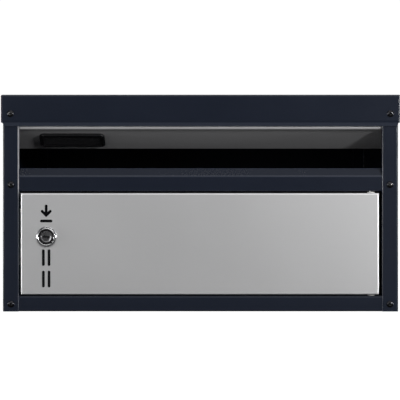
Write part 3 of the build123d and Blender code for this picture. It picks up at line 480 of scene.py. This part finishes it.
ANTHRACITE = (0.0094, 0.0136, 0.0258)
finishes = {
    "anthracite_coat": coated_steel("anthracite_coat", ANTHRACITE),
    # The roof and rail coats carry a painted highlight band on a bend; the stile coat carries a painted
    # highlight along its inner edge.
    "roof_coat": coated_steel("roof_coat", ANTHRACITE, band=ROOF_BEND),
    "rail_coat": coated_steel("rail_coat", ANTHRACITE, band=RAIL_BEND),
    "stile_coat": coated_steel("stile_coat", ANTHRACITE, painted_edge_highlight=(LEFT_STILE_EDGE, SLOT_REACH)),
    "flap_steel": satin_steel("flap_steel", (0.42, 0.42, 0.43), gloss=0.46, fineness=1.2, metal=0.4,
                              curl=FLAP_CURL),
    "door_steel": satin_steel("door_steel", (0.66, 0.66, 0.665), gloss=0.50, streak=0.02, metal=0.8,
                              outline=DOOR_OUTLINE),
    "bright_steel": plated_metal("bright_steel", (0.66, 0.66, 0.66), gloss=0.16, tarnish=0.12),
    "zinc_steel": plated_metal("zinc_steel", (0.56, 0.57, 0.58), gloss=0.34, tarnish=0.30, pit=0.12),
    "lock_chrome": plated_metal("lock_chrome", (0.80, 0.80, 0.81), gloss=0.06, tarnish=0.06),
    "lock_core": plated_metal("lock_core", (0.40, 0.40, 0.41), gloss=0.20, tarnish=0.30),
    # Screw heads: worn coating at the rims, made wide and full so that it also paints the bright crescent
    # highlights.
    "black_screw": plated_metal("black_screw", (0.045, 0.046, 0.052), gloss=0.14, tarnish=0.25,
                                wear=1.0, wear_reach=0.9 * MM),
    "rivet_alloy": plated_metal("rivet_alloy", (0.62, 0.62, 0.63), gloss=0.38, tarnish=0.2),
    "black_plastic": moulded_plastic("black_plastic", (0.010, 0.010, 0.011), gloss=0.16),
    "nylon": moulded_plastic("nylon", (0.80, 0.79, 0.75), gloss=0.42),
    "rubber": moulded_plastic("rubber", (0.020, 0.020, 0.021), gloss=0.62, texture=0.3, sheen=0.1),
    "card": moulded_plastic("card", (0.026, 0.026, 0.029), gloss=0.70, texture=0.25),
    "smoked_acrylic": moulded_plastic("smoked_acrylic", (0.004, 0.004, 0.005), gloss=0.10,
                                      texture=0.02),
    "clear_window": clear_acrylic("clear_window"),
}
BENT_SHEETS = {"roof_cap": "roof_coat", "middle_rail": "rail_coat", "left_side_panel": "stile_coat"}


def dress(piece, finish):
    """Give a piece one finish all over."""
    piece.data.materials.clear()
    piece.data.materials.append(finishes[finish])


for row in record["subparts"]:
    dress(nodes[row["node"]], row["material_slot"])
for node, finish in BENT_SHEETS.items():
    dress(nodes[node], finish)


# ---------------------------------------------------------------- modelled pieces

def pick_faces(piece, wanted):
    """In edit mode, select only the faces that wanted(face) accepts."""
    bpy.ops.object.mode_set(mode="EDIT")
    bpy.ops.mesh.select_mode(type="FACE")
    bpy.ops.mesh.select_all(action="DESELECT")
    bpy.ops.object.mode_set(mode="OBJECT")
    for face in piece.data.polygons:
        face.select = bool(wanted(face))
    bpy.ops.object.mode_set(mode="EDIT")


SMOOTH_BELOW = math.radians(35)
EVEN_WEIGHT = 90


def settle(piece, bevel, segments=2, angle=30.0):
    """Put the place into the mesh, bevel the hard edges and shade the rest smooth."""
    bpy.ops.object.mode_set(mode="OBJECT")
    bpy.ops.object.select_all(action="DESELECT")
    piece.select_set(True)
    bpy.context.view_layer.objects.active = piece
    bpy.ops.object.transform_apply(location=True, rotation=True, scale=True)
    soft = piece.modifiers.new("soft_edges", "BEVEL")
    soft.width = bevel
    soft.segments = segments
    soft.limit_method = "ANGLE"
    soft.angle_limit = math.radians(angle)
    soft.harden_normals = False
    bpy.ops.object.modifier_apply(modifier=soft.name)
    split = piece.modifiers.new("split_faces", "TRIANGULATE")
    split.min_vertices = 5
    bpy.ops.object.modifier_apply(modifier=split.name)
    bpy.ops.object.shade_smooth_by_angle(angle=SMOOTH_BELOW)
    even = piece.modifiers.new("even_normals", "WEIGHTED_NORMAL")
    even.weight = EVEN_WEIGHT
    even.keep_sharp = True
    bpy.ops.object.modifier_apply(modifier=even.name)


SAME_LEVEL = 0.001 * MM
FACING = 0.9


def end_faces(piece, direction):
    """A test for the faces at the front end (-1) or the rear end (1) of a turned piece."""
    reach = max(direction * vertex.co.y for vertex in piece.data.vertices) - SAME_LEVEL
    return lambda face: direction * face.center.y > reach and direction * face.normal.y > FACING


LOCK_SIDES = 96


def turned(name, centre, profile, sides=LOCK_SIDES):
    """A turned piece about the Y direction: (radius, y) steps from its rear to its last inner face."""
    first_radius, rear = profile[0]
    radius, front = profile[1]
    bpy.ops.object.select_all(action="DESELECT")
    bpy.ops.mesh.primitive_cylinder_add(
        vertices=sides, radius=first_radius, depth=rear - front, rotation=(QUARTER_TURN, 0, 0),
        location=(centre[0], centre[1] + (rear + front) / 2, centre[2]))
    piece = bpy.context.object
    piece.name = name
    bpy.ops.object.transform_apply(location=True, rotation=True, scale=True)
    pick_faces(piece, end_faces(piece, -1))
    if radius != first_radius:
        scale_ring(centre, radius / first_radius)
    level = front
    for next_radius, next_level in profile[2:]:
        bpy.ops.mesh.extrude_region_move(
            TRANSFORM_OT_translate={"value": (0, next_level - level, 0)})
        scale_ring(centre, next_radius / radius)
        radius, level = next_radius, next_level
    bpy.ops.object.mode_set(mode="OBJECT")
    return piece


def bore_through(piece, centre, rear_radius, bore_radius):
    """Carry a turned piece's last bore out through its rear face."""
    pick_faces(piece, end_faces(piece, 1))
    bpy.ops.mesh.extrude_region_move(TRANSFORM_OT_translate={"value": (0, 0, 0)})
    scale_ring(centre, bore_radius / rear_radius)
    pick_faces(piece, lambda face: len(face.vertices) > 4)
    bpy.ops.mesh.bridge_edge_loops()
    bpy.ops.object.mode_set(mode="OBJECT")


def scale_ring(centre, ratio):
    """Scale the selected ring about the Y direction through centre."""
    bpy.ops.transform.resize(value=(ratio, 1, ratio), center_override=centre)


def boolean(piece, other, operation):
    """Add another closed shape to a piece, or take it away, and remove the other."""
    bpy.ops.object.select_all(action="DESELECT")
    bpy.context.view_layer.objects.active = piece
    piece.select_set(True)
    change = piece.modifiers.new("change", "BOOLEAN")
    change.operation = operation
    change.solver = "EXACT"
    change.object = other
    bpy.ops.object.modifier_apply(modifier=change.name)
    bpy.data.objects.remove(other)


def cut_with(piece, cutter):
    """Take a cutter's volume out of a piece."""
    boolean(piece, cutter, "DIFFERENCE")


def prism(sides, radius, depth, place):
    """A cutter that runs along Y."""
    bpy.ops.object.select_all(action="DESELECT")
    bpy.ops.mesh.primitive_cylinder_add(
        vertices=sides, radius=radius, depth=depth, location=place, rotation=(QUARTER_TURN, 0, 0))
    return bpy.context.object


def block(place, size):
    """A box of the given size about place."""
    bpy.ops.object.select_all(action="DESELECT")
    bpy.ops.mesh.primitive_cube_add(size=1, location=place, scale=size)
    return bpy.context.object


def join_pieces(pieces, name):
    """One object from several, by their meshes."""
    bpy.ops.object.select_all(action="DESELECT")
    for piece in pieces:
        piece.select_set(True)
    bpy.context.view_layer.objects.active = pieces[0]
    bpy.ops.object.join()
    joined = bpy.context.object
    joined.name = name
    return joined


SCREW_HEAD = 3.85 * MM
SCREW_TALL = 2.2 * MM
SCREW_RIM = 0.35 * MM
SCREW_SEAT = SCREW_HEAD * 0.97
SCREW_SIDES = 48
SOCKET = 1.45 * MM
SOCKET_CUT = 3.0 * MM
SOCKET_SIDES = 6
DOME_DEGREES = range(0, 71, 10)
FINE_EDGE = 0.10 * MM
FINE_ANGLE = 40.0
SCREW_X = 213.6 * MM
SCREW_LEVELS = (8.5 * MM, 143.1 * MM, 222.8 * MM)
SHANK = 2.0 * MM
LOW_SHANK = 6.6 * MM
ROOF_SHANK_END = DOOR_FACE_Y + 8.8 * MM


def make_screws(seats, shank):
    """Button-head screws alike: a domed head on a thin flange, with a hexagon socket."""
    dome = [(SCREW_HEAD * math.cos(turn), -SCREW_RIM - (SCREW_TALL - SCREW_RIM) * math.sin(turn))
            for turn in map(math.radians, DOME_DEGREES)]
    profile = [(SHANK, shank), (SHANK, 0.0), (SCREW_SEAT, 0.0), *dome]
    first = turned("front_screw", seats[0], profile, sides=SCREW_SIDES)
    socket = prism(SOCKET_SIDES, SOCKET, SOCKET_CUT, seats[0] + Vector((0, -SCREW_TALL, 0)))
    cut_with(first, socket)
    settle(first, bevel=FINE_EDGE, angle=FINE_ANGLE)
    screws = [first]
    for seat in seats[1:]:
        copy = first.copy()
        copy.data = first.data.copy()
        bpy.context.collection.objects.link(copy)
        for vertex in copy.data.vertices:
            vertex.co += seat - seats[0]
        screws.append(copy)
    return screws


def make_front_screws():
    """Four screws on the stiles and two that hold the roof's front."""
    low = [Vector((side * SCREW_X, DOOR_FACE_Y, FLOOR_LEVEL + level))
           for side in (-1, 1) for level in SCREW_LEVELS[:2]]
    roof = [Vector((side * SCREW_X, ROOF_LOW[1], FLOOR_LEVEL + SCREW_LEVELS[2])) for side in (-1, 1)]
    made = make_screws(low, LOW_SHANK) + make_screws(roof, ROOF_SHANK_END - ROOF_LOW[1])
    screws = join_pieces(made, "front_screws_fine")
    dress(screws, "black_screw")
    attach(screws, "body")
    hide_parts("front_screws")


LOCK_POINT = Vector((LOCK_CENTRE[0], DOOR_FACE_Y, LOCK_CENTRE[2]))
BEZEL = 12.0 * MM
BEZEL_TALL = 3.2 * MM
BEZEL_EDGE = 0.12 * MM
BARREL = 9.5 * MM
BARREL_REAR = 16.4 * MM
RING = 8.7 * MM
RING_BED = 1.2 * MM
RING_OUTER = RING - 0.05 * MM
RING_REAR = 1.25 * MM
RING_SHOULDER = 2.3 * MM
RING_TALL = 2.75 * MM
RING_EDGE = 0.08 * MM
PLUG = 6.75 * MM
PLUG_TALL = 2.6 * MM
PLUG_REAR = 17.0 * MM
BORE = PLUG + 0.05 * MM
RING_BORE = PLUG + 0.1 * MM
TANG = 7.0 * MM
TANG_REAR = 19.0 * MM
TANG_CUT = 3.0 * MM
KEYWAY = (8.4 * MM, 9.0 * MM, 2.0 * MM)
KEYWAY_ROUND = 0.6 * MM
WARD = 1.0 * MM
WARD_X = 2.1 * MM
WARD_DEPTH = 8.0 * MM
WARD_SIDES = 24

# (radius, y) steps of the turned pieces, from the rear round the front to the inside
BEZEL_STEPS = [
    (BARREL, BARREL_REAR), (BARREL, 0.0), (BEZEL, 0.0), (BEZEL, -0.7 * MM),
    (BEZEL - 0.5 * MM, -1.5 * MM), (BEZEL - 1.4 * MM, -2.4 * MM), (BEZEL - 2.3 * MM, -2.9 * MM),
    (RING + 0.6 * MM, -BEZEL_TALL), (RING, -BEZEL_TALL + 0.3 * MM), (RING, -RING_BED),
    (BORE, -RING_BED),
]
RING_STEPS = [
    (RING_OUTER, -RING_REAR), (RING_OUTER, -RING_SHOULDER), (RING - 0.5 * MM, -RING_TALL),
    (PLUG + 0.6 * MM, -RING_TALL), (RING_BORE, -RING_SHOULDER),
]
PLUG_STEPS = [
    (PLUG * 0.9, PLUG_REAR), (PLUG, PLUG_REAR - 1.0 * MM), (PLUG, -PLUG_TALL + 0.5 * MM),
    (PLUG - 0.5 * MM, -PLUG_TALL), (PLUG - 1.2 * MM, -PLUG_TALL),
    (PLUG - 1.7 * MM, -PLUG_TALL + 0.35 * MM),
]


def make_lock():
    """Cam lock face: dished chrome bezel, black ring and a plug with a warded keyway."""
    bezel = turned("lock_bezel", LOCK_POINT, BEZEL_STEPS)
    bore_through(bezel, LOCK_POINT, BARREL, BORE)
    settle(bezel, bevel=BEZEL_EDGE, segments=3)
    dress(bezel, "lock_chrome")
    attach(bezel, "door")
    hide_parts("lock_housing")

    ring = turned("lock_face_ring", LOCK_POINT, RING_STEPS)
    bore_through(ring, LOCK_POINT, RING_OUTER, RING_BORE)
    settle(ring, bevel=RING_EDGE)
    dress(ring, "black_plastic")
    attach(ring, "door")
    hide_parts("lock_ring")

    plug = turned("lock_plug_face", LOCK_POINT, PLUG_STEPS)
    tang = block(LOCK_POINT + Vector((0, TANG_REAR - TANG_CUT / 2, 0)), (TANG, TANG_CUT, TANG))
    boolean(plug, tang, "UNION")
    keyway = block(LOCK_POINT + Vector((0, -PLUG_TALL, 0)), KEYWAY)
    settle(keyway, bevel=KEYWAY_ROUND, segments=3)
    cut_with(plug, keyway)
    for side in (-1, 1):
        place = LOCK_POINT + Vector((side * WARD_X, -PLUG_TALL, -side * WARD))
        cut_with(plug, prism(WARD_SIDES, WARD, WARD_DEPTH, place))
    settle(plug, bevel=FINE_EDGE, angle=FINE_ANGLE)
    dress(plug, "lock_core")
    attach(plug, "lock")
    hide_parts("lock_plug")


make_front_screws()
make_lock()


# ---------------------------------------------------------------- light and room

FLOOR_SIZE = 14.0
FLOOR_GAP = 0.5 * MM
FLOOR_GREY = 0.14
FLOOR_SEEN = 1.0
BACKDROP_SEEN = 1.05
FRONT_GLOW = 0.04
SIDE_GLOW = 0.32
SOFT_WHITE = (0.95, 0.97, 1.0, 1)


def camera_only(tree, lit, seen):
    """A shader that the camera sees as one thing while it lights the object as another."""
    rays = add_node(tree, "ShaderNodeLightPath")
    choose = add_node(tree, "ShaderNodeMixShader", {0: rays.outputs["Is Camera Ray"]})
    tree.links.new(lit, choose.inputs[1])
    tree.links.new(seen, choose.inputs[2])
    return choose.outputs[0]


def add_floor():
    """Pale floor, white to the camera and clear from below."""
    bpy.ops.mesh.primitive_plane_add(size=FLOOR_SIZE, location=(0, 0, FLOOR_LEVEL - FLOOR_GAP))
    floor = bpy.context.object
    floor.name = "studio_floor"
    material, tree, shader = start_material("studio_floor", Roughness=0.9, Specular_IOR_Level=0.1)
    shader.inputs["Base Color"].default_value = (FLOOR_GREY, FLOOR_GREY, FLOOR_GREY, 1)
    glow = add_node(tree, "ShaderNodeEmission", {"Color": (1, 1, 1, 1), "Strength": FLOOR_SEEN})
    both = add_node(tree, "ShaderNodeAddShader")
    tree.links.new(shader.outputs[0], both.inputs[0])
    tree.links.new(glow.outputs[0], both.inputs[1])
    above = camera_only(tree, shader.outputs[0], both.outputs[0])
    underside = add_node(tree, "ShaderNodeNewGeometry").outputs["Backfacing"]
    surface = add_node(tree, "ShaderNodeMixShader", {0: underside})
    tree.links.new(above, surface.inputs[1])
    tree.links.new(add_node(tree, "ShaderNodeBsdfTransparent").outputs[0], surface.inputs[2])
    tree.links.new(surface.outputs[0], tree.nodes["Material Output"].inputs["Surface"])
    floor.data.materials.append(material)


def add_surroundings():
    """An even pale room, dim in front of the face and bright to either side and behind."""
    world = bpy.data.worlds.new("studio")
    bpy.context.scene.world = world
    world.use_nodes = True
    tree = world.node_tree
    backdrop = tree.nodes["Background"]
    backdrop.inputs["Color"].default_value = (1, 1, 1, 1)
    backdrop.inputs["Strength"].default_value = BACKDROP_SEEN
    direction = add_node(tree, "ShaderNodeTexCoord").outputs["Generated"]
    split = add_node(tree, "ShaderNodeSeparateXYZ", {"Vector": direction})
    sideways = ramp(tree, maths(tree, "ABSOLUTE", split.outputs["X"]), low=0.60, high=0.95)
    behind = ramp(tree, split.outputs["Y"], low=0.0, high=0.6)
    lit_share = maths(tree, "MAXIMUM", sideways, behind)
    strength = ramp(tree, lit_share, low=0.0, high=1.0, to_low=FRONT_GLOW, to_high=SIDE_GLOW, smooth=False)
    room = add_node(tree, "ShaderNodeBackground", {"Color": SOFT_WHITE, "Strength": strength})
    surface = camera_only(tree, room.outputs[0], backdrop.outputs[0])
    tree.links.new(surface, tree.nodes["World Output"].inputs["Surface"])


FACE_MIDDLE = (0, DOOR_FACE_Y, 0)

# name, place, point it looks at, width and height, power in watts
PANEL_LIGHTS = (
    ("key", (1.42, DOOR_FACE_Y - 1.6, 0.40), FACE_MIDDLE, (0.26, 0.26), 21),
    ("top_front", (0.1, DOOR_FACE_Y - 1.4, 1.3), FACE_MIDDLE, (3.0, 1.5), 13.0),
    ("left_front", (-1.3, DOOR_FACE_Y - 1.5, 0.3), FACE_MIDDLE, (0.5, 0.8), 5.5),
    ("overhead", (0.0, -0.15, 1.6), (0, -0.15, 0), (1.6, 0.5), 9),
    ("left_strip", (-1.4, DOOR_FACE_Y - 0.20, 0.0), FACE_MIDDLE, (0.24, 0.26), 5.0),
    ("right_strip", (1.4, DOOR_FACE_Y - 0.20, 0.0), FACE_MIDDLE, (0.24, 0.26), 5.0),
)


def add_panel_light(name, place, aim, size, power):
    """A soft box that looks at a point."""
    bpy.ops.object.light_add(type="AREA", location=place)
    lamp = bpy.context.object
    lamp.name = name
    lamp.data.shape = "RECTANGLE"
    lamp.data.size, lamp.data.size_y = size
    lamp.data.energy = power
    lamp.rotation_euler = (Vector(aim) - Vector(place)).to_track_quat("-Z", "Y").to_euler()


add_camera()
add_floor()
add_surroundings()
for panel in PANEL_LIGHTS:
    add_panel_light(*panel)
bpy.context.scene.view_settings.view_transform = "Standard"
